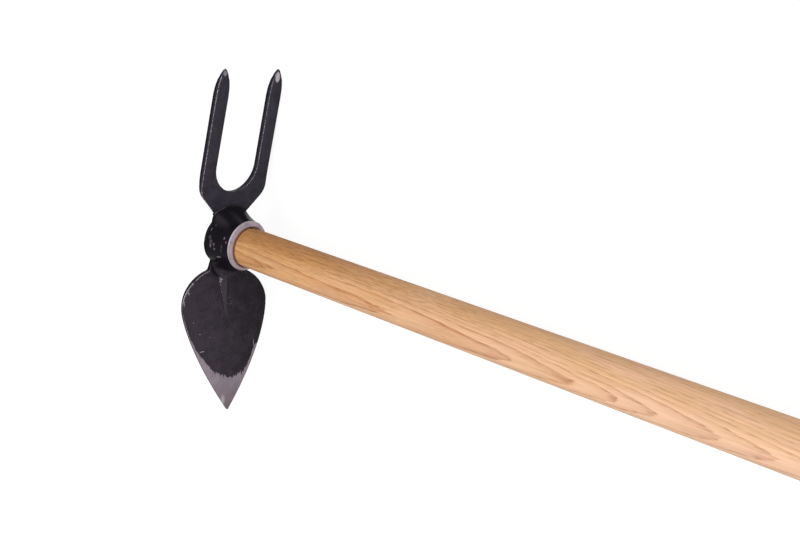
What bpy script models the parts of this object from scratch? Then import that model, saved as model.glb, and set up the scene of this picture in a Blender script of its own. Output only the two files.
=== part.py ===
"""Double hoe: a forged head with a two-tine fork and a leaf blade, wedged on a round wooden handle.

The tool is modelled along its own handle and then laid on its side, as it lies on a floor.
Tool axes: +X runs from the head down the handle, +Y towards the fork tips, +Z to the head's upper side.
The handle's axis is Y = Z = 0, and the outer edge of the eye's mouth is at X = 0.
"""
import math

import bmesh
import bpy
from mathutils import Matrix, Vector

# Handle
HANDLE_DIAMETER = 0.028
HANDLE_LENGTH = 1.300
HANDLE_PROUD = 0.0015
HANDLE_END_CHAMFER = 0.0008
BUTT_EDGE_RADIUS = 0.006

# Eye: the round socket in the middle of the head
EYE_LENGTH = 0.0255
EYE_MOUTH_WALL = 0.0036
EYE_MOUTH_OFFSET = 0.0006
EYE_REAR_WALL = 0.0035
EYE_REAR_EDGE = 0.0025
BORE_CLEARANCE = 0.0004
BORE_FLARE = 0.0012
MOUTH_LIP_HEIGHT = 0.0024
MOUTH_LIP_EDGE = 0.0003

# Flares that run the eye out into the plates: a fillet on the fork and a tongue on the blade
FLARE_START = 0.001
FORK_FLARE_POWER = 1.6
TONGUE_POWER = 2
FORK_FLARE_SPREAD = 0.0056
FORK_FLARE_STEP = 0.00035
FORK_FLARE_INNER_ANGLE = 30
FORK_FLARE_OUTER_ANGLE = 54
TONGUE_SPREAD = 0.0091
TONGUE_RADIUS = 0.0132
TONGUE_HEIGHT = 0.0061
TONGUE_SIDE_ANGLE = 62

# Fork
FORK_REACH = 0.1232
FORK_WIDTH = 0.0586
FORK_GAP = 0.0378
FORK_GAP_CENTRE = 0.0544
FORK_FACE_INSET = 0.0019
FORK_LEAN = 7.7
FORK_NECK_SWELL = 0.0012
FORK_SWELL_END = 0.050
FORK_THICKNESS = 0.0040
FORK_CHAMFER = 0.0009
FORK_SHOULDER_ANGLE = 45
FORK_CORNER_RADIUS = 0.012
NECK_WIDTH = 0.0272
NECK_DRAFT = 0.0015
NECK_RISE = 0.0002
NECK_FILLET = 0.003
TINE_POINT_LENGTH = 0.0185
TINE_POINT_THICKNESS = 0.0018
TINE_POINT_POWER = 1.3
TINE_TOE_IN = 0.0003

# Blade
BLADE_REACH = 0.1263
BLADE_WIDTH = 0.0786
BLADE_WIDEST_AT = 0.0485
BLADE_SHOULDER = 0.0272
BLADE_FACE_SETBACK = 0.0071
BLADE_BEND_AT = 0.024
BLADE_SLOPE = 0.365
BLADE_CURVE = 1.3
BLADE_FLANK_POWER = 1.49
BLADE_CROWN = 0.0003
BLADE_ROOT_SWELL = 0.0010
BLADE_SWELL_END = 0.040
BLADE_REAR_RAMP = 0.5
BLADE_ROOT_WIDTH = 0.0232
BLADE_ROOT_FILLET = 0.003
BLADE_ROOT_THICKNESS = 0.0040
BLADE_TIP_THICKNESS = 0.0014
BLADE_SHOULDER_EDGE = 0.0036
BLADE_FLANK_EDGE = 0.0014
BLADE_EDGE_ROUND = 0.0004
BLADE_TIP_RADIUS = 0.0012

# Rib on the blade's face, running out from under the tongue
RIB_END = 0.0565
RIB_WIDTH = 0.0094
RIB_DROP = 0.0021
RIB_ROOT_DEPTH = 0.001

# Wedges in the handle's head end
WOOD_WEDGE_LENGTH = 0.030
WOOD_WEDGE_WIDTH = 0.026
WOOD_WEDGE_THICKNESS = 0.0042
WOOD_WEDGE_TOE = 0.0016
WOOD_WEDGE_WEB = 0.009
STEEL_WEDGE_WIDTH = 0.014
STEEL_WEDGE_THICKNESS = 0.003
STEEL_WEDGE_TOE = 0.0008
WEDGE_CLEARANCE = 0.0003
KERF_SPARE = 0.006

# Fineness of the round forms
ROUND_STEPS = 96
HANDLE_STEPS = 64
FLARE_ROWS = 7
ARC_STEPS = 10
BLADE_STEPS = 15
SMOOTH_ANGLE = 30
SMALL_STEP = 0.0003

# Sizes that follow from the ones above
HANDLE_RADIUS = HANDLE_DIAMETER / 2
HANDLE_REAR = -EYE_LENGTH - HANDLE_PROUD
HANDLE_BUTT = HANDLE_REAR + HANDLE_LENGTH
MOUTH_BORE_RADIUS = HANDLE_RADIUS + BORE_CLEARANCE
REAR_BORE_RADIUS = MOUTH_BORE_RADIUS + BORE_FLARE
MOUTH_RADIUS = MOUTH_BORE_RADIUS + EYE_MOUTH_WALL
REAR_RADIUS = REAR_BORE_RADIUS + EYE_REAR_WALL
FORK_FACE_DEPTH = EYE_LENGTH - FORK_FACE_INSET
BLADE_FACE_DEPTH = EYE_LENGTH + BLADE_FACE_SETBACK
STEEL_WEDGE_LENGTH = WOOD_WEDGE_LENGTH - WOOD_WEDGE_WEB


def clear_scene():
    """Remove every object of the scene."""
    for thing in list(bpy.data.objects):
        bpy.data.objects.remove(thing)


def plain_material(name, colour, roughness, metallic):
    """Return a Principled material."""
    material = bpy.data.materials.new(name)
    material.use_nodes = True
    shader = material.node_tree.nodes["Principled BSDF"]
    shader.inputs["Base Color"].default_value = (*colour, 1)
    shader.inputs["Roughness"].default_value = roughness
    shader.inputs["Metallic"].default_value = metallic
    return material


def mix(start, end, share):
    """Return the value a share of the way from start to end."""
    return start + (end - start) * share


def smooth_share(value, start, end):
    """Return 0 before start, 1 after end and an S-curve between them."""
    share = min(max((value - start) / (end - start), 0), 1)
    return share * share * (3 - 2 * share)


def add_object(name, bm):
    """Turn a bmesh into an object of the scene."""
    bmesh.ops.recalc_face_normals(bm, faces=bm.faces)
    mesh = bpy.data.meshes.new(name)
    bm.to_mesh(mesh)
    bm.free()
    thing = bpy.data.objects.new(name, mesh)
    bpy.context.collection.objects.link(thing)
    return thing


def skin_rings(rings):
    """Return a closed bmesh over a stack of rings that have equal numbers of points."""
    bm = bmesh.new()
    loops = [[bm.verts.new(point) for point in ring] for ring in rings]
    for near, far in zip(loops, loops[1:]):
        for index, vertex in enumerate(near):
            following = (index + 1) % len(near)
            bm.faces.new((vertex, near[following], far[following], far[index]))
    bm.faces.new(loops[0])
    bm.faces.new(loops[-1])
    return bm


def turn(profile, steps):
    """Return a closed bmesh turned about the handle's axis from (x, radius) pairs."""
    rings = []
    for x, radius in profile:
        angles = [2 * math.pi * step / steps for step in range(steps)]
        rings.append([(x, radius * math.cos(angle), radius * math.sin(angle)) for angle in angles])
    return skin_rings(rings)


def combine(body, piece, operation):
    """Join piece to body, or cut it out of body, and remove piece."""
    modifier = body.modifiers.new(operation, "BOOLEAN")
    modifier.operation = operation
    modifier.solver = "EXACT"
    modifier.object = piece
    evaluated = body.evaluated_get(bpy.context.evaluated_depsgraph_get())
    result = bpy.data.meshes.new_from_object(evaluated)
    body.modifiers.clear()
    body.data = result
    bpy.data.objects.remove(piece)


def finish(thing, material):
    """Give a piece its material and smooth shading with crisp edges."""
    thing.data.materials.clear()
    thing.data.materials.append(material)
    thing.data.shade_smooth()
    thing.data.set_sharp_from_angle(angle=math.radians(SMOOTH_ANGLE))


def barrel_radius(x):
    """Return the plain barrel's outer radius at a place along the eye."""
    return mix(MOUTH_RADIUS, REAR_RADIUS, min(max(-x / EYE_LENGTH, 0), 1))


def bore_radius(x):
    """Return the bore's radius at a place along the eye."""
    return mix(MOUTH_BORE_RADIUS, REAR_BORE_RADIUS, min(max(-x / EYE_LENGTH, 0), 1))


def fork_face(y):
    """Return where the fork's front face lies: a leaning plane that swells forward at the neck."""
    swell = FORK_NECK_SWELL * (1 - smooth_share(y, REAR_RADIUS, FORK_SWELL_END))
    return -FORK_FACE_DEPTH + math.tan(math.radians(FORK_LEAN)) * y + swell


def blade_face(y):
    """Return where the edge of the blade's front face lies.

    The face is level under the eye, leans in from the bend on and straightens towards the tip.
    """
    y = min(y, -BLADE_BEND_AT)
    swell = BLADE_ROOT_SWELL * (1 - smooth_share(-y, BLADE_BEND_AT, BLADE_SWELL_END))
    return -BLADE_FACE_DEPTH - BLADE_SLOPE * y - BLADE_CURVE * y * y + swell


def flare_edge(angle):
    """Return the radius and the place along the eye where its flare ends.

    The angle is measured from the fork side. Between the plates there is no flare.
    """
    away = math.degrees(abs(angle))
    if away < 90:
        hold = 1 - smooth_share(away, FORK_FLARE_INNER_ANGLE, FORK_FLARE_OUTER_ANGLE)
        reach = barrel_radius(-FORK_FACE_DEPTH) + FORK_FLARE_SPREAD
        place = fork_face(reach) + FORK_FLARE_STEP
        plain = barrel_radius(place)
        return mix(plain, reach, hold), place
    turned = math.pi - abs(angle)
    reach = barrel_radius(-FORK_FACE_DEPTH) + TONGUE_SPREAD
    centre = reach - TONGUE_RADIUS
    fall = smooth_share(math.degrees(turned), 0, TONGUE_SIDE_ANGLE)
    place = mix(blade_face(-reach) + TONGUE_HEIGHT, -FORK_FACE_DEPTH, fall)
    plain = barrel_radius(place)
    chord = TONGUE_RADIUS ** 2 - (centre * math.sin(turned)) ** 2
    outline = centre * math.cos(turned) + math.sqrt(max(chord, 0))
    return max(plain, outline), place


def inside_plate(angle, radius):
    """Return how far back the inside of the fork or of the blade lies, beside the eye."""
    y = radius * math.cos(angle)
    middle = fork_face(y) - FORK_THICKNESS / 2 if y > 0 else blade_face(y) - BLADE_ROOT_THICKNESS / 4
    return max(middle, EYE_REAR_EDGE - EYE_LENGTH + 2 * SMALL_STEP)


def make_eye():
    """Model the eye with its ground mouth, its flares and its rounded rear end."""
    angles = [math.pi * (2 * step + 1) / ROUND_STEPS - math.pi for step in range(ROUND_STEPS)]
    columns = []
    for angle in angles:
        edge, place = flare_edge(angle)
        spread = edge - barrel_radius(place)
        power = FORK_FLARE_POWER if math.cos(angle) > 0 else TONGUE_POWER
        column = [(MOUTH_LIP_HEIGHT, MOUTH_BORE_RADIUS + MOUTH_LIP_EDGE), (0, MOUTH_RADIUS)]
        for row in range(FLARE_ROWS + 1):
            share = row / FLARE_ROWS
            x = mix(-FLARE_START, place, share)
            column.append((x, barrel_radius(x) + spread * share ** power))
        wall_end = min(inside_plate(angle, edge), place - SMALL_STEP)
        column.append((wall_end, barrel_radius(wall_end) + spread))
        wall_foot = min(inside_plate(angle, REAR_RADIUS), wall_end - SMALL_STEP)
        column.append((wall_foot, barrel_radius(wall_foot)))
        for step in range(4):
            turned = math.radians(30 * step)
            x = EYE_REAR_EDGE * (1 - math.sin(turned)) - EYE_LENGTH
            column.append((x, REAR_RADIUS - EYE_REAR_EDGE * (1 - math.cos(turned))))
        points = []
        for x, radius in column:
            offset = EYE_MOUTH_OFFSET * (1 - smooth_share(-x, 0, EYE_LENGTH)) if x <= 0 else 0
            points.append((x, radius * math.cos(angle) + offset, radius * math.sin(angle)))
        columns.append(points)
    return add_object("eye", skin_rings(list(zip(*columns))))


def fork_outline():
    """Return the fork's outline as (y, z) points: neck, shoulder, tine, point, gap, and back again."""
    half = FORK_WIDTH / 2
    gap = FORK_GAP / 2
    neck = NECK_WIDTH / 2
    neck_end = REAR_RADIUS + NECK_RISE
    shoulder = math.radians(FORK_SHOULDER_ANGLE)
    side = [(MOUTH_RADIUS / 2, neck)]

    # Neck fillet, hollow
    centre = (neck_end - NECK_FILLET * math.tan(shoulder / 2), neck + NECK_FILLET)
    for step in range(4):
        angle = -math.pi / 2 + shoulder * step / 3
        side.append((centre[0] + NECK_FILLET * math.cos(angle), centre[1] + NECK_FILLET * math.sin(angle)))

    # Outer corner, round
    corner = neck_end + (half - neck) / math.tan(shoulder)
    centre = (corner + FORK_CORNER_RADIUS * math.tan(shoulder / 2), half - FORK_CORNER_RADIUS)
    for step in range(ARC_STEPS // 2 + 1):
        angle = math.pi / 2 + shoulder * (1 - step / (ARC_STEPS // 2))
        y = centre[0] + FORK_CORNER_RADIUS * math.cos(angle)
        side.append((y, centre[1] + FORK_CORNER_RADIUS * math.sin(angle)))

    # Point of the tine
    tine = (half + gap) / 2 - TINE_TOE_IN
    for step in range(ARC_STEPS + 1):
        angle = math.pi * step / ARC_STEPS
        swing = math.copysign(abs(math.cos(angle)) ** TINE_POINT_POWER, math.cos(angle))
        y = FORK_REACH - TINE_POINT_LENGTH * (1 - math.sin(angle))
        side.append((y, tine + (half - gap) / 2 * swing))

    # Half of the gap's round bottom
    for step in range(ARC_STEPS + 1):
        angle = math.pi / 2 * (1 + step / ARC_STEPS)
        side.append((FORK_GAP_CENTRE + gap * math.cos(angle), gap * math.sin(angle)))
    return side + [(y, -z) for y, z in reversed(side[:-1])]


def make_fork():
    """Model the fork: a flat plate with chamfered edges whose tines thin out to their points."""
    bm = bmesh.new()
    outline = fork_outline()
    front = [bm.verts.new((0, y, z)) for y, z in outline]
    back = [bm.verts.new((-FORK_THICKNESS, y, z)) for y, z in outline]
    bm.faces.new(front)
    bm.faces.new(back[::-1])
    for index, vertex in enumerate(front):
        following = (index + 1) % len(front)
        bm.faces.new((vertex, back[index], back[following], front[following]))
    rim = [edge for edge in bm.edges if edge.verts[0].co.x == edge.verts[1].co.x]
    bmesh.ops.bevel(bm, geom=rim, offset=FORK_CHAMFER, segments=2, profile=0.6, affect="EDGES")

    # Cuts across the plate let the neck swell and the points thin out along their length
    taper_start = FORK_REACH - TINE_POINT_LENGTH
    cuts = [mix(taper_start, FORK_REACH, step / 7) for step in range(7)]
    cuts += [mix(REAR_RADIUS, FORK_SWELL_END, step / 6) for step in range(7)]
    for cut in cuts:
        place = Vector((0, cut, 0))
        everything = bm.verts[:] + bm.edges[:] + bm.faces[:]
        bmesh.ops.bisect_plane(bm, geom=everything, plane_co=place, plane_no=(0, 1, 0), dist=1e-6)
    for vertex in bm.verts:
        y = vertex.co.y
        depth = -vertex.co.x / FORK_THICKNESS
        share = min(max((y - taper_start) / TINE_POINT_LENGTH, 0), 1)
        thickness = mix(FORK_THICKNESS, TINE_POINT_THICKNESS, share * share)
        drop = (FORK_THICKNESS - thickness) / 3
        vertex.co.x = fork_face(y) - drop - depth * thickness
        draft = NECK_DRAFT * depth * (1 - smooth_share(y, REAR_RADIUS, FORK_SWELL_END))
        vertex.co.z *= 1 - 2 * draft / NECK_WIDTH
    return add_object("fork", bm)


def blade_stations():
    """Return (y, half width) pairs down the blade: root, fillet, shoulders, flanks and rounded tip."""
    half = BLADE_WIDTH / 2
    root = BLADE_ROOT_WIDTH / 2
    flank = BLADE_REACH - BLADE_WIDEST_AT
    tip_angle = math.atan(BLADE_FLANK_POWER * half / flank)
    sharp_flank = flank + BLADE_TIP_RADIUS * (1 / math.sin(tip_angle) - 1)
    stations = [(-MOUTH_RADIUS * 0.75, root)]
    start = math.asin((root + BLADE_ROOT_FILLET) / half)
    foot = -BLADE_WIDEST_AT + BLADE_SHOULDER * math.cos(start)
    for step in range(4):
        angle = math.pi / 8 * step
        y = foot + BLADE_ROOT_FILLET * (1 - math.sin(angle))
        stations.append((y, root + BLADE_ROOT_FILLET * (1 - math.cos(angle))))
    for step in range(BLADE_STEPS + 1):
        angle = mix(start, math.pi / 2, step / BLADE_STEPS)
        y = -BLADE_WIDEST_AT + BLADE_SHOULDER * math.cos(angle)
        stations.append((y, half * math.sin(angle)))
    tip_start = BLADE_REACH - BLADE_TIP_RADIUS * (1 - math.sin(tip_angle))
    for step in range(1, BLADE_STEPS + 1):
        run = (tip_start - BLADE_WIDEST_AT) * step / BLADE_STEPS
        width = half * (1 - (run / sharp_flank) ** BLADE_FLANK_POWER)
        stations.append((-BLADE_WIDEST_AT - run, width))
    for step in (2, 1):
        angle = (math.pi / 2 - tip_angle) * step / 3
        y = -BLADE_REACH + BLADE_TIP_RADIUS * (1 - math.cos(angle))
        stations.append((y, BLADE_TIP_RADIUS * math.sin(angle)))
    return stations


def blade_front(y, z, width):
    """Return where the blade's slightly crowned front face lies."""
    return blade_face(y) + BLADE_CROWN * (width ** 2 - z ** 2) / (BLADE_WIDTH / 2) ** 2


def rear_ramp(y):
    """Return how far back the blade's root may reach: it grows out of the eye's rear face."""
    return SMALL_STEP - EYE_LENGTH - BLADE_REAR_RAMP * max(-y - REAR_RADIUS + EYE_REAR_EDGE, 0)


def make_blade():
    """Model the leaf blade as a loft of its cross-sections, thinner towards the edges and the tip."""
    rings = []
    for y, width in blade_stations():
        down = min(max((-y - REAR_RADIUS) / (BLADE_REACH - REAR_RADIUS), 0), 1)
        past_shoulder = smooth_share(-y, BLADE_WIDEST_AT - BLADE_SHOULDER, BLADE_WIDEST_AT)
        middle_thickness = mix(BLADE_ROOT_THICKNESS, BLADE_TIP_THICKNESS, down)
        edge_thickness = min(mix(BLADE_SHOULDER_EDGE, BLADE_FLANK_EDGE, past_shoulder), middle_thickness)
        rounding = min(BLADE_EDGE_ROUND, width / 3)
        front = []
        back = []
        for step in range(BLADE_STEPS + 1):
            across = 2 * step / BLADE_STEPS - 1
            z = across * (width - rounding)
            face = blade_front(y, z, width)
            thickness = mix(middle_thickness, edge_thickness, across * across)
            front.append((face, y, z))
            back.append((max(face - thickness, rear_ramp(y)), y, z))
        high = front[0][0] - rounding
        low = back[0][0] + rounding
        sides = [(high, y, width), (low, y, width)]
        far_sides = [(low, y, -width), (high, y, -width)]
        rings.append(front + sides + back[::-1] + far_sides)
    return add_object("blade", skin_rings(rings))


def make_rib():
    """Model the short rib that stiffens the blade under the tongue: a low pyramid on its side."""
    tongue_reach = barrel_radius(-FORK_FACE_DEPTH) + TONGUE_SPREAD
    start = -tongue_reach + 2 * RIB_ROOT_DEPTH
    ridge = blade_face(-tongue_reach) + TONGUE_HEIGHT - RIB_DROP
    half = RIB_WIDTH / 2
    bm = bmesh.new()
    corners = [(ridge, start, 0), (blade_front(-RIB_END, 0, BLADE_WIDTH / 2), -RIB_END, 0)]
    corners += [(blade_face(start), start, side) for side in (-half, half)]
    for point in corners:
        bm.verts.new(point)
        bm.verts.new((point[0] - RIB_ROOT_DEPTH, point[1], point[2]))
    bmesh.ops.convex_hull(bm, input=bm.verts)
    return add_object("rib", bm)


def make_head():
    """Model the head as one forging: eye, fork, blade and rib joined, and the bore cut through."""
    head = make_eye()
    head.name = "head"
    combine(head, make_fork(), "UNION")
    combine(head, make_blade(), "UNION")
    combine(head, make_rib(), "UNION")
    ends = [2 * MOUTH_LIP_HEIGHT, 0, -EYE_LENGTH, -EYE_LENGTH - 2 * HANDLE_PROUD]
    bore = add_object("bore", turn([(x, bore_radius(x)) for x in ends], ROUND_STEPS))
    combine(head, bore, "DIFFERENCE")
    return head


def wedge_block(length, head, toe, width, clearance, upright):
    """Return a wedge driven in from the handle's rear end, or with clearance the slot it needs.

    An upright wedge spreads the wood along Z, a cross wedge along Y.
    """
    grow = 2 * clearance
    rings = []
    for x, thickness in ((HANDLE_REAR - clearance, head), (HANDLE_REAR + length + clearance, toe)):
        a = (thickness + grow) / 2
        b = (width + grow) / 2
        corners = [(b, a), (-b, a), (-b, -a), (b, -a)]
        rings.append([(x, p, q) if upright else (x, q, p) for p, q in corners])
    return skin_rings(rings)


def make_handle():
    """Model the round handle, its end in the eye flared to fill the bore and slotted for the wedges."""
    profile = [(HANDLE_REAR, bore_radius(HANDLE_REAR) - BORE_CLEARANCE - HANDLE_END_CHAMFER)]
    for x in (HANDLE_REAR + HANDLE_END_CHAMFER, -EYE_LENGTH, 0):
        profile.append((x, bore_radius(x) - BORE_CLEARANCE))
    for step in range(7):
        angle = math.pi / 2 * step / 6
        x = HANDLE_BUTT - BUTT_EDGE_RADIUS * (1 - math.sin(angle))
        profile.append((x, HANDLE_RADIUS - BUTT_EDGE_RADIUS * (1 - math.cos(angle))))
    handle = add_object("handle", turn(profile, HANDLE_STEPS))

    depth = WOOD_WEDGE_LENGTH + KERF_SPARE
    slope = (WOOD_WEDGE_THICKNESS - WOOD_WEDGE_TOE) / WOOD_WEDGE_LENGTH
    kerf_toe = max(WOOD_WEDGE_TOE - slope * KERF_SPARE, WEDGE_CLEARANCE)
    kerf = wedge_block(depth, WOOD_WEDGE_THICKNESS, kerf_toe, 2 * REAR_RADIUS, WEDGE_CLEARANCE, True)
    combine(handle, add_object("kerf", kerf), "DIFFERENCE")
    combine(handle, add_object("slot", steel_wedge_block(WEDGE_CLEARANCE)), "DIFFERENCE")
    return handle


def steel_wedge_block(clearance):
    """Return the steel wedge, or with clearance the slot it has split open."""
    return wedge_block(
        STEEL_WEDGE_LENGTH, STEEL_WEDGE_THICKNESS, STEEL_WEDGE_TOE, STEEL_WEDGE_WIDTH, clearance, False
    )


def make_wood_wedge():
    """Model the hardwood wedge in the kerf, split at its head by the steel wedge."""
    block = wedge_block(
        WOOD_WEDGE_LENGTH, WOOD_WEDGE_THICKNESS, WOOD_WEDGE_TOE, WOOD_WEDGE_WIDTH, 0, True
    )
    wedge = add_object("wood_wedge", block)
    combine(wedge, add_object("slot", steel_wedge_block(WEDGE_CLEARANCE)), "DIFFERENCE")
    return wedge


def resting_rotation():
    """Return the rotation that lays the tool on its blade's edge, its outer tine and its butt."""
    blade_edge = Vector((blade_face(-BLADE_WIDEST_AT), -BLADE_WIDEST_AT, -BLADE_WIDTH / 2))
    tine_end = FORK_REACH - TINE_POINT_LENGTH
    tine_edge = Vector((fork_face(tine_end) - FORK_THICKNESS / 2, tine_end, -FORK_WIDTH / 2))
    butt = Vector((HANDLE_BUTT - BUTT_EDGE_RADIUS, 0, 0))
    across = (tine_edge - blade_edge).normalized()
    side = Vector((0, 0, 1))
    side = (side - across * across.dot(side)).normalized()
    along = across.cross(side)
    rise = side.dot(butt - blade_edge)
    run = along.dot(butt - blade_edge)
    swing = math.acos(HANDLE_RADIUS / math.hypot(rise, run))
    tilt = math.atan2(run, rise) - math.copysign(swing, run)
    up = side * math.cos(tilt) + along * math.sin(tilt)
    forward = Vector((1, 0, 0))
    forward = (forward - up * up.dot(forward)).normalized()
    return Matrix((forward, up.cross(forward), up))


def lay_down(pieces):
    """Parent the pieces to an empty that lays the tool on the floor, centred over the origin."""
    rest = bpy.data.objects.new("rest", None)
    bpy.context.collection.objects.link(rest)
    rest.rotation_euler = resting_rotation().to_euler()
    for piece in pieces:
        piece.parent = rest
    bpy.context.view_layer.update()
    points = [piece.matrix_world @ vertex.co for piece in pieces for vertex in piece.data.vertices]
    low = [min(values) for values in zip(*points)]
    high = [max(values) for values in zip(*points)]
    rest.location = (-(low[0] + high[0]) / 2, -(low[1] + high[1]) / 2, -low[2])
    bpy.context.view_layer.update()


clear_scene()
head_piece = make_head()
finish(head_piece, plain_material("black painted steel", (0.018, 0.016, 0.020), 0.4, 0))
handle_piece = make_handle()
finish(handle_piece, plain_material("ash wood", (0.60, 0.38, 0.19), 0.5, 0))
wood_wedge_piece = make_wood_wedge()
finish(wood_wedge_piece, plain_material("hardwood", (0.42, 0.24, 0.12), 0.6, 0))
steel_wedge_piece = add_object("steel_wedge", steel_wedge_block(0))
finish(steel_wedge_piece, plain_material("bare steel", (0.45, 0.43, 0.44), 0.4, 1))
lay_down([head_piece, handle_piece, wood_wedge_piece, steel_wedge_piece])
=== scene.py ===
"""Double hoe: the looks of a forged head on a wooden handle, lying on a white studio floor."""

import math

import bpy
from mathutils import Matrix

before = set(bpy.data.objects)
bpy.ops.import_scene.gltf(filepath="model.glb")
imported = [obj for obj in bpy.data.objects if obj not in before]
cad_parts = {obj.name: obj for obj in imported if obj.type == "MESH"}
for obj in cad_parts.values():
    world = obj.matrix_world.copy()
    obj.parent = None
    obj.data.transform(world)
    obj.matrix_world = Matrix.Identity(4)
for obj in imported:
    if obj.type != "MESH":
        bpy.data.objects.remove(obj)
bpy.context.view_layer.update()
bpy.ops.object.select_all(action="DESELECT")


# Head: one steel forging with a thin coat of near-black paint, satin on the flat faces and
# glossier round the eye. The mouth's rim and the blade's tip are ground to bare metal after
# the painting, and handling has rubbed the paint off the sharp edges.
def linear(code):
    """Turn an sRGB hex colour into a linear RGBA value."""
    shares = [int(code[place:place + 2], 16) / 255 for place in (1, 3, 5)]
    return [c / 12.92 if c <= 0.04045 else ((c + 0.055) / 1.055) ** 2.4 for c in shares] + [1]


def new_material(name):
    """Return an empty node material and its Principled shader."""
    material = bpy.data.materials.new(name)
    material.use_nodes = True
    return material, material.node_tree.nodes["Principled BSDF"]


def add(material, kind, inputs=(), **settings):
    """Add a node; each input is a value, a socket, or a node whose first live output is used."""
    node = material.node_tree.nodes.new("ShaderNode" + kind)
    for name, value in settings.items():
        setattr(node, name, value)
    pairs = inputs.items() if isinstance(inputs, dict) else enumerate(inputs)
    live = [socket for socket in node.inputs if socket.enabled]
    for key, value in pairs:
        socket = live[key] if isinstance(key, int) else node.inputs[key]
        link(material, value, socket)
    return node


def link(material, value, socket):
    """Give a socket a plain value, or link it to a socket or to a node's first live output."""
    if isinstance(value, bpy.types.Node):
        value = next(output for output in value.outputs if output.enabled)
    if isinstance(value, bpy.types.NodeSocket):
        material.node_tree.links.new(value, socket)
    elif value is not None:
        socket.default_value = value


def dress(node, material):
    """Give a CAD node its finish in place of the plain one."""
    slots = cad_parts[node].data.materials
    slots.clear()
    slots.append(material)


# The tool lies tilted on the floor. These turn a place on it back to the tool's own axes:
# X down the handle from the eye's mouth, Y to the fork's tips, Z across the plates.
TOOL_PLACE = (-0.622721, 0.000764, 0.03578)
TOOL_TURN = [math.radians(angle) for angle in (-3.6929, 0.985, 0)]
MM_PER_METRE = 1000


def tool_axes(material):
    """Return the tool's own coordinates as a vector in mm, and its three parts."""
    place = add(material, "TexCoord").outputs["Object"]
    pose = {"Vector": place, "Location": TOOL_PLACE, "Rotation": TOOL_TURN}
    own = add(material, "Mapping", pose, vector_type="TEXTURE")
    own = add(material, "VectorMath", {0: own, "Scale": MM_PER_METRE}, operation="SCALE")
    parts = add(material, "SeparateXYZ", [own])
    return own.outputs[0], parts.outputs[0], parts.outputs[1], parts.outputs[2]


paint, shader = new_material("black paint on forged steel")
own, x, y, z = tool_axes(paint)
# A pattern's scale is in grains per mm: these are grains of 0.5 mm and clouds of 8 mm.
speckle = add(paint, "TexNoise", {"Vector": own, "Scale": 2, "Detail": 3, "Roughness": 0.6})
mottle = add(paint, "TexNoise", {"Vector": own, "Scale": 0.12, "Detail": 5, "Roughness": 0.65})

# Bare ring: the eye's mouth, turned to a cone.
ring = add(paint, "Math", [speckle, 0.5, x], operation="MULTIPLY_ADD")
ring = add(paint, "MapRange", [ring, 0.1, 0.4, 0, 1], interpolation_type="SMOOTHSTEP")

# Ground tip. GRIND is where the grinder's run-out ends, as places across and along the blade in
# mm. It left streaks of about 14 x 1.2 mm, so the run-out is ragged in the middle of the blade,
# and smoother towards its sides.
GRIND = ((-40, -79), (-29, -80.5), (-24.8, -83.5), (-20.9, -90), (-18, -95), (-15.7, -98.2),
         (-10, -100.8), (-5, -101.8), (-1.8, -103), (2, -101), (10.4, -96.9), (16.5, -92.3),
         (21.4, -86), (26.1, -80.2), (30.1, -74.4), (34, -67.5), (40, -64))
GRIND_MIDDLE = -1.5
GRIND_HALF = 40
GRIND_LOW = -110
GRIND_SPAN = 60


def on_curve(across, along):
    """Return a place of GRIND on the node's curve, which runs from 0 to 1 both ways."""
    return (across + GRIND_HALF) / (2 * GRIND_HALF), (along - GRIND_LOW) / GRIND_SPAN


run_out = add(paint, "MapRange", [z, -GRIND_HALF, GRIND_HALF, 0, 1])
run_out = add(paint, "FloatCurve", {"Value": run_out})
curve = run_out.mapping.curves[0]
curve.points[0].location = on_curve(*GRIND[0])
curve.points[1].location = on_curve(*GRIND[-1])
for place in GRIND[1:-1]:
    curve.points.new(*on_curve(*place))
run_out.mapping.update()
run_out = add(paint, "Math", [run_out, GRIND_SPAN, GRIND_LOW], operation="MULTIPLY_ADD")
strokes = add(paint, "VectorMath", [own, (0.07, 0.07, 0.8)], operation="MULTIPLY")
strokes = add(paint, "TexNoise", {"Vector": strokes, "Scale": 1, "Detail": 3, "Roughness": 0.7})
lobes = add(paint, "TexNoise", {"Vector": own, "Scale": 0.22, "Detail": 1})
outer = add(paint, "Math", [z, GRIND_MIDDLE], operation="SUBTRACT")
outer = add(paint, "Math", [outer], operation="ABSOLUTE")
bristle = add(paint, "MapRange", [outer, 11, 19, 12, 3.5])
centred = add(paint, "Math", [strokes, 0.5], operation="SUBTRACT")
jitter = add(paint, "Math", [centred, bristle, run_out], operation="MULTIPLY_ADD")
jitter = add(paint, "Math", [lobes, 3, jitter], operation="MULTIPLY_ADD")
ground = add(paint, "Math", [jitter, y], operation="SUBTRACT")
ground = add(paint, "MapRange", [ground, 1, 2, 0, 1], interpolation_type="SMOOTHSTEP")


def spots(material, vector, places):
    """Return a mask that rises to each spot's strength at its middle.

    A place is a spot's middle and half size on the tool's own axes, in mm, and its strength.
    """
    total = None
    for middle, size, strength in places:
        spot = add(material, "VectorMath", [vector, middle], operation="SUBTRACT")
        spot = add(material, "VectorMath", [spot, size], operation="DIVIDE")
        spot = add(material, "VectorMath", [spot], operation="LENGTH")
        spot = add(material, "MapRange", [spot, 1, 0.4, 0, strength])
        total = add(material, "Math", [total, spot], operation="MAXIMUM") if total else spot
    return total


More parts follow.
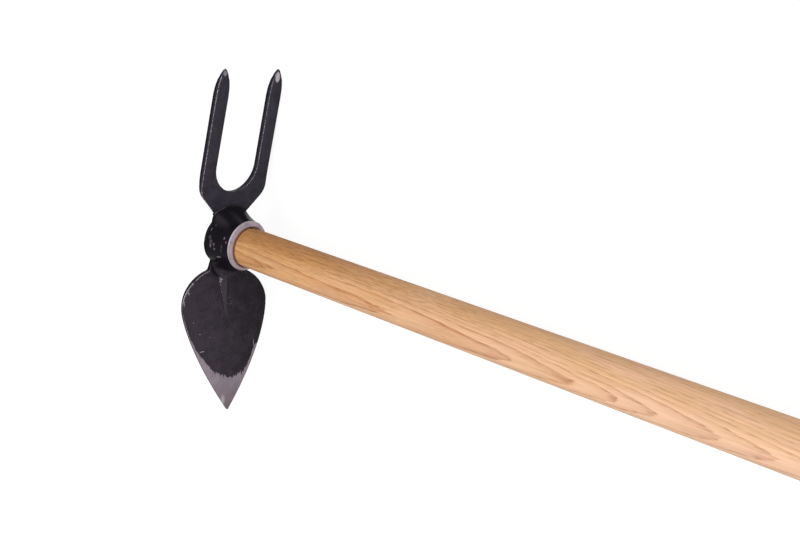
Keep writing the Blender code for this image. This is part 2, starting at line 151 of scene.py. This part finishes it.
# Edge wear: where a rounded copy of the surface turns away from the real one there is an edge.
# On the fork, what faces halfway between a plate's face and its side is a chamfer. The edges of
# the upper side are worn, but not those by the eye, and most of all the blade's left shoulder.
# That the upper edges show more wear than the lower ones is partly painted light.
soft = add(paint, "Bevel", {"Radius": 0.0008}, samples=6)
flat = add(paint, "NewGeometry").outputs["Normal"]
turn = add(paint, "VectorMath", [soft, flat], operation="DOT_PRODUCT")
edge = add(paint, "MapRange", [turn, 0.997, 0.94, 0, 1])
tilt, _, tall = add(paint, "SeparateXYZ", [flat]).outputs
chamfer = add(paint, "MapRange", [tilt, 0.88, 0.8, 0, 1])
steep = add(paint, "MapRange", [tilt, 0.45, 0.6, 0, 1])
chamfer = add(paint, "Math", [chamfer, steep], operation="MULTIPLY")
fork = add(paint, "MapRange", [y, 15, 25, 0, 1])
chamfer = add(paint, "Math", [chamfer, fork], operation="MULTIPLY")
edge = add(paint, "Math", [edge, chamfer], operation="MAXIMUM")
rise = add(paint, "SeparateXYZ", [soft]).outputs[2]
up_wear_and_light = add(paint, "MapRange", [rise, 0, 0.35, 0.25, 1])
radial = add(paint, "VectorMath", [own, (0, 1, 1)], operation="MULTIPLY")
radial = add(paint, "VectorMath", [radial], operation="LENGTH")
off_eye = add(paint, "MapRange", [radial, 24, 29, 0, 0.56])
rubbed_and_lit = add(paint, "Math", [up_wear_and_light, off_eye], operation="MULTIPLY")
shoulder = spots(paint, own, (
    ((-23, -26, 18), (9, 6, 10), 2),
    ((-20, -36, 33), (12, 14, 9), 1.7),
    ((-12, -64, 38), (14, 24, 10), 1.2),
))
rubbed_and_lit = add(paint, "Math", [rubbed_and_lit, shoulder], operation="MAXIMUM")
worn = add(paint, "Math", [edge, rubbed_and_lit], operation="MULTIPLY")

# Painted shade: on the blade's thin upper side the paint is kept from wear and its bare steel is
# darkened to a tenth, so that the side shows as a dark line.
painted_shade_on_upper_side = add(paint, "MapRange", [tall, 0.6, 0.75, 1, 0.1])
blade = add(paint, "MapRange", [y, -20, -28, 0, 1])
painted_shade_on_upper_side = add(paint, "Mix", [blade, 1, painted_shade_on_upper_side], data_type="FLOAT")
worn = add(paint, "Math", [worn, painted_shade_on_upper_side], operation="MULTIPLY")

# Single marks. Under a strength of about 0.6 a mark is only a scatter of chips.
marks = spots(paint, own, (
    # The points of the right and left tine
    ((-8, 117.5, -23.4), (5, 5.2, 2.9), 1.05),
    ((-8, 120.2, 24), (5, 4, 2.6), 0.56),
    # Chips and knocks on the eye
    ((-18.6, 4.4, 18.3), (2.6, 2.6, 3), 0.48),
    ((-17, 1.6, 18.6), (3, 3, 3), 0.5),
    ((-17.4, -1.4, 18.7), (1.7, 2.6, 3), 0.6),
    ((-14, 0.2, 18.6), (2, 2.4, 3), 0.52),
    ((-13.6, -3, 18.4), (2, 2.2, 3), 0.52),
    ((-20, 9.4, 16.4), (0.6, 3, 3), 0.64),
    ((-17.6, 12.6, 13.9), (0.7, 1.4, 2), 0.62),
    ((-5, 6.7, 17), (1.1, 1.8, 3), 0.6),
    ((-2.4, 4.4, 17.6), (0.7, 1.6, 3), 0.66),
    ((-6.5, -1, 18.1), (2, 9, 4), 0.44),
    ((-11.6, -8.6, 16.4), (1.8, 0.6, 2), 0.95),
    ((-9.3, -8, 16.6), (1.8, 0.6, 2), 0.95),
    # Rib, shoulder and face of the blade
    ((-19, -30, 3.4), (8, 9, 1.8), 0.46),
    ((-22, -29.5, 28), (3, 2.6, 2.6), 0.52),
    ((-21, -36, 32.2), (3, 2.8, 1.9), 0.53),
    ((-19.4, -42.7, 36.8), (3, 5, 1.2), 0.54),
    ((-18, -46, -3), (9, 14, 9), 0.3),
    ((-12, -78.2, 24), (3, 0.35, 4), 0.68),
    ((-14.3, -65.5, 25.2), (3, 0.5, 0.5), 0.74),
    ((-13.6, -69.1, 16.4), (3, 0.45, 0.45), 0.74),
    ((-16.1, -56.5, 30.2), (3, 0.4, 0.4), 0.7),
    ((-12, -80, -24.6), (3, 5, 0.4), 0.7),
))
worn = add(paint, "Math", [worn, marks], operation="MAXIMUM")

# The rim of the eye's flare on the fork is rubbed to a thin line, stronger on the upper side,
# which is partly painted light.
FLARE_RIM = 25.2
brim = add(paint, "Math", [radial, FLARE_RIM], operation="SUBTRACT")
brim = add(paint, "Math", [brim], operation="ABSOLUTE")
brim = add(paint, "MapRange", [brim, 0.7, 0.2, 0, 1])
brim_upper_light = add(paint, "MapRange", [z, -8, 14, 0.1, 0.6])
brim = add(paint, "Math", [brim, brim_upper_light], operation="MULTIPLY")
fork_side = add(paint, "Math", [y, 12], operation="GREATER_THAN")
brim = add(paint, "Math", [brim, fork_side], operation="MULTIPLY")
worn = add(paint, "Math", [worn, brim], operation="MAXIMUM")

# The coat breaks in chips: the more a place is worn, the more of its grains are bare.
chance = add(paint, "Math", [speckle, 1.4, worn], operation="MULTIPLY_ADD")
chips = add(paint, "MapRange", [chance, 1.2, 1.34, 0, 1], interpolation_type="SMOOTHSTEP")

# Ground steel: streaked by the grinder and warmer towards its point, with one small painted glint
# there. Painted shade makes it darker towards its point, and painted light makes it brighter
# towards the tip's left shoulder.
polish = add(paint, "MapRange", [mottle, 0.3, 0.7, 0.15, 0.85])
polish = add(paint, "Mix", [0.45, strokes, polish], data_type="FLOAT")
steel = add(paint, "Mix", [polish, linear("#776c75"), linear("#b3a6b0")], data_type="RGBA")
warm = add(paint, "MapRange", [y, -124, -106, 0.7, 0])
steel = add(paint, "Mix", [warm, steel, linear("#948086")], data_type="RGBA")
painted_glint = spots(paint, own, (((-7.7, -118.3, 5.2), (4, 5.5, 2.6), 0.45),))
steel = add(paint, "Mix", [painted_glint, steel, linear("#f0e6ea")], data_type="RGBA")
tip_light_and_shade = add(paint, "MapRange", [y, -124, -104, 0.76, 1.02])
painted_light_left = add(paint, "MapRange", [z, 0, 22, 0, 0.14])
tip_light_and_shade = add(paint, "Math", [tip_light_and_shade, painted_light_left], operation="ADD")
tip_light_and_shade = add(paint, "Math", [tip_light_and_shade, painted_shade_on_upper_side], operation="MULTIPLY")
steel = add(paint, "VectorMath", {0: steel, "Scale": tip_light_and_shade}, operation="SCALE")

# Turned steel on the ring: stained in clouds, made brighter towards the right tine as painted
# light, with a worn outer rim that also carries a painted highlight, and browned by the wood at
# its inner lip.
turned = add(paint, "Mix", [mottle, linear("#8f8288"), linear("#b8abb2")], data_type="RGBA")
stain = add(paint, "MapRange", [mottle, 0.36, 0.5, 0.8, 1])
grit = add(paint, "MapRange", [speckle, 0.35, 0.65, 0.86, 1.14])
stain = add(paint, "Math", [stain, grit], operation="MULTIPLY")
turned = add(paint, "VectorMath", {0: turned, "Scale": stain}, operation="SCALE")
painted_ring_light = add(paint, "VectorMath", [own, (0, 0.005, -0.027)], operation="DOT_PRODUCT")
painted_ring_light = add(paint, "Math", [painted_ring_light, 1.35], operation="ADD")
turned = add(paint, "VectorMath", {0: turned, "Scale": painted_ring_light}, operation="SCALE")
rim_wear_and_highlight = add(paint, "MapRange", [radial, 17.3, 17.7, 0, 0.5])
turned = add(paint, "Mix", [rim_wear_and_highlight, turned, linear("#d6ccd2")], data_type="RGBA")
lip = add(paint, "MapRange", [radial, 14.9, 15.7, 0.7, 0])
turned = add(paint, "Mix", [lip, turned, linear("#7c4c38")], data_type="RGBA")
steel = add(paint, "Mix", [ring, steel, turned], data_type="RGBA")

# A faint grey-violet haze lies on the coat of the flat faces. Painted light makes it stronger to
# the left than to the right, and on the tines stronger to each tine's left, on each one by
# itself. It is uneven in clouds and in dust of 1.4 mm, with scuffs of about 8 x 0.8 mm.
FORK_HALF = 29.3
TINE_PITCH = 48.2
TINE_WIDTH = 10.4
haze_and_painted_light = add(paint, "MapRange", [z, -30, 30, 0.05, 0.95])
painted_tine_light = add(paint, "Math", [z, FORK_HALF], operation="ADD")
painted_tine_light = add(paint, "Math", [painted_tine_light, TINE_PITCH], operation="MODULO")
painted_tine_light = add(paint, "MapRange", [painted_tine_light, 0, TINE_WIDTH, 0.45, 0.9])
painted_base_light = add(paint, "MapRange", [z, -30, 30, 0.5, 0.95])
haze_and_painted_light = add(paint, "Mix", [fork, haze_and_painted_light, painted_base_light], data_type="FLOAT")
tines = add(paint, "MapRange", [y, 35, 55, 0, 1])
haze_and_painted_light = add(paint, "Mix", [tines, haze_and_painted_light, painted_tine_light], data_type="FLOAT")
cloud = add(paint, "MapRange", [mottle, 0.35, 0.65, -0.3, 0.26])
haze_and_painted_light = add(paint, "Math", [haze_and_painted_light, cloud], operation="ADD")
dust = add(paint, "TexNoise", {"Vector": own, "Scale": 0.7, "Detail": 3, "Roughness": 0.7})
dust = add(paint, "MapRange", [dust, 0.35, 0.65, -0.22, 0.22])
haze_and_painted_light = add(paint, "Math", [haze_and_painted_light, dust], operation="ADD")
scuffs = {"Vector": own, "Rotation": (math.radians(35), 0, 0), "Scale": (0.2, 0.12, 1.3)}
scuffs = add(paint, "Mapping", scuffs, vector_type="POINT")
scuffs = add(paint, "TexNoise", {"Vector": scuffs, "Scale": 1, "Detail": 2})
scuffs = add(paint, "MapRange", [scuffs, 0.6, 0.72, 0, 0.5])
haze_and_painted_light = add(paint, "Math", [haze_and_painted_light, scuffs], operation="ADD")

# The haze and its painted light end by the eye, and lie on the faces and not on the sides. The
# fork's front leans forward by FORK_SLOPE, and only it and its chamfers reach FORK_FRONT.
FORK_SLOPE = 0.1352
FORK_FRONT = -24.8
blade_side = add(paint, "MapRange", [y, -10, -20, 0, 5])
away = add(paint, "Math", [radial, blade_side], operation="ADD")
away = add(paint, "MapRange", [away, 24.4, 27.6, 0, 1], interpolation_type="SMOOTHSTEP")
haze_and_painted_light = add(paint, "Math", [haze_and_painted_light, away], operation="MULTIPLY")
level = add(paint, "MapRange", [tilt, 0.2, 0.6, 0, 1])
depth = add(paint, "VectorMath", [own, (1, -FORK_SLOPE, 0)], operation="DOT_PRODUCT")
depth = add(paint, "MapRange", [depth, -26.2, FORK_FRONT, 0, 1])
depth = add(paint, "Math", [depth, fork], operation="MULTIPLY")
level = add(paint, "Math", [level, depth], operation="MAXIMUM")
haze_and_painted_light = add(paint, "Math", [haze_and_painted_light, level], operation="MULTIPLY")
violet = add(paint, "Mix", [fork, linear("#352e38"), linear("#322f3b")], data_type="RGBA")
coat = add(paint, "Mix", [haze_and_painted_light, linear("#0b070e"), violet], data_type="RGBA")

# The coat on the fork's upper chamfers is lightened grey, partly rubbed and partly a painted
# highlight, and bare steel shows where it is gone.
rub_and_highlight = add(paint, "Math", [chamfer, rubbed_and_lit], operation="MULTIPLY")
crumbs = add(paint, "MapRange", [speckle, 0.42, 0.62, 0.12, 0.95])
rub_and_highlight = add(paint, "Math", [rub_and_highlight, crumbs], operation="MULTIPLY")
coat = add(paint, "Mix", [rub_and_highlight, coat, linear("#7c7a80")], data_type="RGBA")
bare = add(paint, "Math", [ring, ground], operation="MAXIMUM")
knock = add(paint, "Mix", [away, linear("#989096"), linear("#cfc6cc")], data_type="RGBA")
colour = add(paint, "Mix", [chips, coat, knock], data_type="RGBA")
colour = add(paint, "Mix", [bare, colour, steel], data_type="RGBA")
link(paint, colour, shader.inputs["Base Color"])
metal = add(paint, "Math", [chips, 0.45], operation="MULTIPLY")
metal = add(paint, "Math", [metal, bare], operation="MAXIMUM")
link(paint, metal, shader.inputs["Metallic"])
shader.inputs["Specular IOR Level"].default_value = 0.3
shader.inputs["Specular Tint"].default_value = linear("#fbecfb")

# The coat is glossier round the eye, where hands have passed. Its relief is fine grain, shallow
# hammer marks and the chips' small steps.
gloss = add(paint, "MapRange", [radial, 19, 25, 0.24, 0.4], interpolation_type="SMOOTHSTEP")
gloss = add(paint, "Math", [mottle, 0.1, gloss], operation="MULTIPLY_ADD")
shine = add(paint, "Mix", [ring, 0.42, 0.52], data_type="FLOAT")
any_bare = add(paint, "Math", [bare, chips], operation="MAXIMUM")
gloss = add(paint, "Mix", [any_bare, gloss, shine], data_type="FLOAT")
link(paint, gloss, shader.inputs["Roughness"])
grain = add(paint, "Math", [speckle, 0.02], operation="MULTIPLY")
relief = add(paint, "Math", [mottle, 0.12, grain], operation="MULTIPLY_ADD")
relief = add(paint, "Math", [chips, -0.03, relief], operation="MULTIPLY_ADD")
relief = add(paint, "Bump", {"Height": relief, "Strength": 1, "Distance": 0.001, "Normal": soft})
link(paint, relief, shader.inputs["Normal"])
dress("head", paint)


# Handle: a turned and sanded round of ash with a thin clear coat. The tree's rings run nearly
# along it, so they show as straight lines on one side and as pointed figures on the other.
wood, shader = new_material("turned ash")
own, x, y, _ = tool_axes(wood)

# Rings: layers that face one way across the handle and run nearly along it, in one long bend,
# with waves of about 70 x 20 mm and ripples of 20 x 3 mm. RINGS are the heights in mm, measured
# that way, of the lines between the years.
RINGS = (-8.3, -6.5, -4.8, -3.2, -1.39, 0.28, 2.39, 3.5, 4.95, 7.1, 9.7, 11.7, 13.6)
YEARS = len(RINGS) - 1
RING_FACE = (0, -0.317, 0.948)
RING_TILT = -0.037
BEND_HEIGHT = 1.71
BEND_LENGTH = 90
BEND_MIDDLE = 230
face = add(wood, "VectorMath", [own, RING_FACE], operation="DOT_PRODUCT")
height = add(wood, "Math", [x, RING_TILT, face], operation="MULTIPLY_ADD")
bend = add(wood, "Math", [x, 1 / BEND_LENGTH, -BEND_MIDDLE / BEND_LENGTH],
           operation="MULTIPLY_ADD")
bend = add(wood, "Math", [bend], operation="COSINE")
height = add(wood, "Math", [bend, BEND_HEIGHT, height], operation="MULTIPLY_ADD")
waves = add(wood, "VectorMath", [own, (0.014, 0.05, 0.05)], operation="MULTIPLY")
waves = add(wood, "TexNoise", {"Vector": waves, "Scale": 1, "Detail": 3, "Roughness": 0.5})
waves = add(wood, "Math", [waves, 0.5], operation="SUBTRACT")
height = add(wood, "Math", [waves, 1.8, height], operation="MULTIPLY_ADD")
ripple = add(wood, "VectorMath", [own, (0.05, 0.3, 0.3)], operation="MULTIPLY")
ripple = add(wood, "TexNoise", {"Vector": ripple, "Scale": 1, "Detail": 3, "Roughness": 0.6})
ripple = add(wood, "Math", [ripple, 0.5], operation="SUBTRACT")
height = add(wood, "Math", [ripple, 1.1, height], operation="MULTIPLY_ADD")

# The years between those lines, counted by a curve. Past the first line, on the far side, they
# run on with uneven widths. Early wood is darkest at its line and fades over three quarters.
year = add(wood, "MapRange", [height, RINGS[0], RINGS[-1], 0, 1], clamp=False)
year = add(wood, "FloatCurve", {"Value": year})
year.mapping.extend = "EXTRAPOLATED"
curve = year.mapping.curves[0]
for count, line in enumerate(RINGS[1:-1]):
    curve.points.new((line - RINGS[0]) / (RINGS[-1] - RINGS[0]), (count + 1) / YEARS)
for point in curve.points:
    point.handle_type = "VECTOR"
year.mapping.update()
uneven = add(wood, "TexNoise", {"W": height, "Scale": 0.45, "Detail": 1}, noise_dimensions="1D")
beyond = add(wood, "MapRange", [height, -8, -14, 0, 0.14])
uneven = add(wood, "Math", [uneven, beyond], operation="MULTIPLY")
year = add(wood, "Math", [year, uneven], operation="ADD")
year = add(wood, "Math", [year, YEARS], operation="MULTIPLY")
year = add(wood, "Math", [year], operation="FRACT")
line = add(wood, "MapRange", [year, 0, 0.2, 0.5, 0])
early = add(wood, "MapRange", [year, 0, 0.75, 0.5, 0])
early = add(wood, "Math", [early, line], operation="ADD")
late = add(wood, "MapRange", [year, 0.93, 1, 0, 1])
early = add(wood, "Math", [early, late], operation="MAXIMUM")

# Fibres of about 30 x 0.9 mm, and streaks of 70 x 2 mm.
fibre = add(wood, "VectorMath", [own, (0.035, 1.1, 1.1)], operation="MULTIPLY")
fibre = add(wood, "TexNoise", {"Vector": fibre, "Scale": 1, "Detail": 4, "Roughness": 0.7})
streak = add(wood, "VectorMath", [own, (0.014, 0.45, 0.45)], operation="MULTIPLY")
streak = add(wood, "TexNoise", {"Vector": streak, "Scale": 1, "Detail": 2, "Roughness": 0.6})

# Pores: dashes of about 8 x 0.8 mm, crowded in each ring's early wood and, by the head, between
# the rings of the upper side too. Real ones are half as wide: they are drawn coarser to show.
pores = add(wood, "VectorMath", [own, (0.13, 1.3, 1.3)], operation="MULTIPLY")
pores = add(wood, "TexNoise", {"Vector": pores, "Scale": 1, "Detail": 2})
pores = add(wood, "MapRange", [pores, 0.48, 0.6, 0, 1])
crowd = add(wood, "MapRange", [x, 60, 280, 1, 0.3])
quarter = add(wood, "MapRange", [face, 13, 7, 0.35, 1])
crowd = add(wood, "Math", [crowd, quarter], operation="MULTIPLY")
crowd = add(wood, "Math", [crowd, early], operation="MAXIMUM")
pores = add(wood, "Math", [pores, crowd], operation="MULTIPLY")

# Colour, in patches of about 50 x 11 mm: ochre by the head and paler down the handle, with a pale
# pink painted sheen growing down the handle on the side where the figures show.
patch = add(wood, "VectorMath", [own, (0.02, 0.09, 0.09)], operation="MULTIPLY")
patch = add(wood, "TexNoise", {"Vector": patch, "Scale": 1, "Detail": 2})
patch = add(wood, "MapRange", [patch, 0.42, 0.58, 0, 1])
along = add(wood, "MapRange", [x, 0, 330, 0, 1])
ochre = add(wood, "Mix", [patch, linear("#d39d64"), linear("#d4a270")], data_type="RGBA")
tan = add(wood, "Mix", [patch, linear("#e6b88c"), linear("#ecbd98")], data_type="RGBA")
colour = add(wood, "Mix", [along, ochre, tan], data_type="RGBA")
painted_sheen = add(wood, "MapRange", [x, 0, 430, 0, 0.6])
painted_sheen = add(wood, "MapRange", [face, 9, 14, 0, painted_sheen])
colour = add(wood, "Mix", [painted_sheen, colour, linear("#f4c8aa")], data_type="RGBA")
start = add(wood, "MapRange", [x, 4, 50, 0.35, 0])
colour = add(wood, "Mix", [start, colour, linear("#b58a5c")], data_type="RGBA")
# Painted shade: browner on the handle's fork side by the head, broken up by streaks.
near = add(wood, "MapRange", [x, 40, 190, 1, 0], interpolation_type="SMOOTHSTEP")
fork_side_shade = add(wood, "Math", [streak, 8, y], operation="MULTIPLY_ADD")
fork_side_shade = add(wood, "MapRange", [fork_side_shade, 9, 15, 0, 0.75], interpolation_type="SMOOTHSTEP")
painted_shade_by_head = add(wood, "Math", [near, fork_side_shade], operation="MULTIPLY")
colour = add(wood, "Mix", [painted_shade_by_head, colour, linear("#b67e46")], data_type="RGBA")

# The rings' early wood is red-brown, strongest where the figures are, and fades in and out over
# stretches of 50 mm. Pores, fibres and streaks lie over it.
distinct = add(wood, "VectorMath", [own, (0.02, 0.2, 0.2)], operation="MULTIPLY")
distinct = add(wood, "TexNoise", {"Vector": distinct, "Scale": 1, "Detail": 3, "Roughness": 0.6})
distinct = add(wood, "MapRange", [distinct, 0.35, 0.6, 0.5, 1])
strength = add(wood, "MapRange", [x, 200, 330, 0.85, 0.54])
strength = add(wood, "MapRange", [face, 4, 13, 0.3, strength])
strength = add(wood, "Math", [strength, distinct], operation="MULTIPLY")
band = add(wood, "Math", [early, strength], operation="MULTIPLY")
colour = add(wood, "Mix", [band, colour, linear("#b06b40")], data_type="RGBA")
dash = add(wood, "MapRange", [x, 60, 300, 0.48, 0.4])
dash = add(wood, "Math", [pores, dash], operation="MULTIPLY")
colour = add(wood, "Mix", [dash, colour, linear("#965f31")], data_type="RGBA")
light = add(wood, "MapRange", [x, 50, 300, 1.2, 1.1])
dark = add(wood, "MapRange", [x, 50, 300, 0.83, 0.91])
shade = add(wood, "MapRange", [fibre, 0.3, 0.7, dark, light], clamp=False)
streak = add(wood, "MapRange", [streak, 0.3, 0.7, 0.94, 1.06], clamp=False)
shade = add(wood, "Math", [shade, streak], operation="MULTIPLY")
colour = add(wood, "VectorMath", {0: colour, "Scale": shade}, operation="SCALE")

# Dirt in the gap at the eye's mouth, and darker end grain on the sawn ends.
mouth = add(wood, "MapRange", [x, 2.6, 4, 0.75, 0])
colour = add(wood, "Mix", [mouth, colour, linear("#7a4522")], data_type="RGBA")
facing = add(wood, "NewGeometry").outputs["Normal"]
facing = add(wood, "SeparateXYZ", [facing]).outputs[0]
facing = add(wood, "Math", [facing], operation="ABSOLUTE")
end = add(wood, "MapRange", [facing, 0.6, 0.95, 0, 0.55])
colour = add(wood, "Mix", [end, colour, linear("#8a5f3a")], data_type="RGBA")
link(wood, colour, shader.inputs["Base Color"])
gloss = add(wood, "MapRange", [fibre, 0.3, 0.7, 0.48, 0.6])
gloss = add(wood, "Mix", [end, gloss, 0.8], data_type="FLOAT")
link(wood, gloss, shader.inputs["Roughness"])
shader.inputs["Specular IOR Level"].default_value = 0.35
relief = add(wood, "Math", [pores, -0.04], operation="MULTIPLY")
relief = add(wood, "Math", [fibre, 0.04, relief], operation="MULTIPLY_ADD")
relief = add(wood, "Bump", {"Height": relief, "Strength": 1, "Distance": 0.001})
link(wood, relief, shader.inputs["Normal"])
dress("handle", wood)


# Wooden wedge: a sawn sliver of hardwood, driven into the kerf in the handle's end. Its end was
# sawn off with the handle's, so it shows end grain: small dark pores in brown wood.
wedge_wood, shader = new_material("sawn hardwood")
own = tool_axes(wedge_wood)[0]
# Grain of about 1.1 x 0.5 mm across the end, and pores of 0.3 mm.
grain = add(wedge_wood, "VectorMath", [own, (0.1, 0.9, 2.2)], operation="MULTIPLY")
grain = add(wedge_wood, "TexNoise", {"Vector": grain, "Scale": 1, "Detail": 3, "Roughness": 0.6})
pores = add(wedge_wood, "VectorMath", [own, (0.3, 3, 3)], operation="MULTIPLY")
pores = add(wedge_wood, "TexVoronoi", {"Vector": pores, "Scale": 1})
pores = add(wedge_wood, "MapRange", [pores, 0.16, 0.3, 1, 0])
colour = add(wedge_wood, "Mix", [grain, linear("#8f6440"), linear("#bd8f62")], data_type="RGBA")
colour = add(wedge_wood, "Mix", [pores, colour, linear("#5a3a22")], data_type="RGBA")
link(wedge_wood, colour, shader.inputs["Base Color"])
rough = add(wedge_wood, "MapRange", [grain, 0.3, 0.7, 0.7, 0.85])
link(wedge_wood, rough, shader.inputs["Roughness"])
relief = add(wedge_wood, "Math", [pores, -0.1], operation="MULTIPLY")
relief = add(wedge_wood, "Math", [grain, 0.15, relief], operation="MULTIPLY_ADD")
relief = add(wedge_wood, "Bump", {"Height": relief, "Strength": 1, "Distance": 0.001})
link(wedge_wood, relief, shader.inputs["Normal"])
dress("wood_wedge", wedge_wood)


# Steel wedge: a short piece sheared from flat bar and driven across the wooden one. Its head is
# mushroomed and bright from the hammer, with grey mill scale left on its sides.
wedge_steel, shader = new_material("sheared mild steel")
own = tool_axes(wedge_steel)[0]
# Drag marks of the shear, 0.3 mm apart, and scale in flakes of about 1.7 mm.
drag = add(wedge_steel, "VectorMath", [own, (0.4, 0.3, 3)], operation="MULTIPLY")
drag = add(wedge_steel, "TexNoise", {"Vector": drag, "Scale": 1, "Detail": 3, "Roughness": 0.6})
flakes = {"Vector": own, "Scale": 0.6, "Detail": 4, "Roughness": 0.65}
flakes = add(wedge_steel, "TexNoise", flakes)
flakes = add(wedge_steel, "MapRange", [flakes, 0.46, 0.58, 0, 1])
colour = add(wedge_steel, "Mix", [drag, linear("#a09b9d"), linear("#c4bfc0")], data_type="RGBA")
colour = add(wedge_steel, "Mix", [flakes, colour, linear("#7d7675")], data_type="RGBA")
link(wedge_steel, colour, shader.inputs["Base Color"])
shader.inputs["Metallic"].default_value = 1
rough = add(wedge_steel, "MapRange", [flakes, 0, 1, 0.35, 0.55])
link(wedge_steel, rough, shader.inputs["Roughness"])
relief = add(wedge_steel, "Math", [flakes, 0.04], operation="MULTIPLY")
relief = add(wedge_steel, "Math", [drag, 0.06, relief], operation="MULTIPLY_ADD")
relief = add(wedge_steel, "Bump", {"Height": relief, "Strength": 1, "Distance": 0.001})
link(wedge_steel, relief, shader.inputs["Normal"])
dress("steel_wedge", wedge_steel)


# Floor: a plain white studio floor. What the camera and the reflections see of it carries part of
# its own light, so it is as white as paper and still keeps the tool's soft shadow.
bpy.ops.mesh.primitive_plane_add(size=8, location=(0, 0, -0.0004))
floor = bpy.context.object
floor.name = "floor"
bpy.ops.object.transform_apply(location=True, rotation=True, scale=True)
white, shader = new_material("white floor")
shader.inputs["Base Color"].default_value = (0.4, 0.4, 0.4, 1)
shader.inputs["Roughness"].default_value = 0.9
rays = add(white, "LightPath").outputs
seen = add(white, "Math", [rays["Is Camera Ray"], rays["Is Glossy Ray"]], operation="MAXIMUM")
seen = add(white, "Math", [seen, rays["Is Transmission Ray"]], operation="MAXIMUM")
# Reflections see the floor grey, and darker still past the fork's tips.
DARKER_FROM = 0.09
DARKEST_FROM = 0.16
far = add(white, "TexCoord").outputs["Object"]
far = add(white, "SeparateXYZ", [far]).outputs[1]
glossy_glow = add(white, "MapRange", [far, DARKER_FROM, DARKEST_FROM, 0.25, 0])
glow = add(white, "Mix", [rays["Is Camera Ray"], glossy_glow, 0.86], data_type="FLOAT")
glow = add(white, "Emission", {"Color": (1, 1, 1, 1), "Strength": glow})
glossy_matt = add(white, "MapRange", [far, DARKER_FROM, DARKEST_FROM, 0.45, 0.15])
matt = add(white, "Mix", [rays["Is Camera Ray"], glossy_matt, 0.2], data_type="FLOAT")
matt = add(white, "BsdfDiffuse", {"Color": matt})
both = add(white, "AddShader", [matt, glow])
choice = add(white, "MixShader", [seen, shader, both])
link(white, choice, white.node_tree.nodes["Material Output"].inputs["Surface"])
floor.data.materials.append(white)

# Light: an even white dome that is dark behind the head and dim low beyond the fork's tips, so
# that the black faces stay black, and one large dim soft box above the handle.
bpy.ops.object.light_add(type="AREA", location=(0.1, 0.3, 0.95))
key = bpy.context.object
key.name = "key light"
key.data.energy = 3
key.data.size = 1.0
aim = key.location.copy()
aim.x += 0.3
key.rotation_euler = aim.to_track_quat("Z", "Y").to_euler()
world = bpy.data.worlds.new("studio")
world.use_nodes = True
rays = add(world, "LightPath").outputs
around = add(world, "TexCoord").outputs["Generated"]
along, across, up = add(world, "SeparateXYZ", [around]).outputs
dome = add(world, "MapRange", [along, -0.75, -0.25, 0.1, 1.12], interpolation_type="SMOOTHSTEP")
low = add(world, "MapRange", [up, 0.2, 0, 0, 1], interpolation_type="SMOOTHSTEP")
beyond = add(world, "MapRange", [across, 0.6, 0.9, 0, 0.7], interpolation_type="SMOOTHSTEP")
beyond = add(world, "Math", [low, beyond], operation="MULTIPLY")
beyond = add(world, "Math", [1, beyond], operation="SUBTRACT")
dome = add(world, "Math", [dome, beyond], operation="MULTIPLY")
dome = add(world, "Mix", [rays["Is Camera Ray"], dome, 1], data_type="FLOAT")
background = world.node_tree.nodes["Background"]
link(world, dome, background.inputs["Strength"])
background.inputs["Color"].default_value = (1, 1, 1, 1)
bpy.context.scene.world = world

# Camera: over the handle, looking back down at the head, as in the photograph. Its place and
# turn were solved from the outlines of the tool.
bpy.ops.object.camera_add(location=(-0.04654, 0.23711, 0.52803),
                          rotation=[math.radians(angle) for angle in (-14.327, 42.436, 5.409)])
camera = bpy.context.object
camera.name = "camera"
camera.data.sensor_width = 36
camera.data.lens = 50.2724
camera.data.clip_start = 0.01
bpy.context.scene.camera = camera
bpy.context.scene.view_settings.view_transform = "Standard"
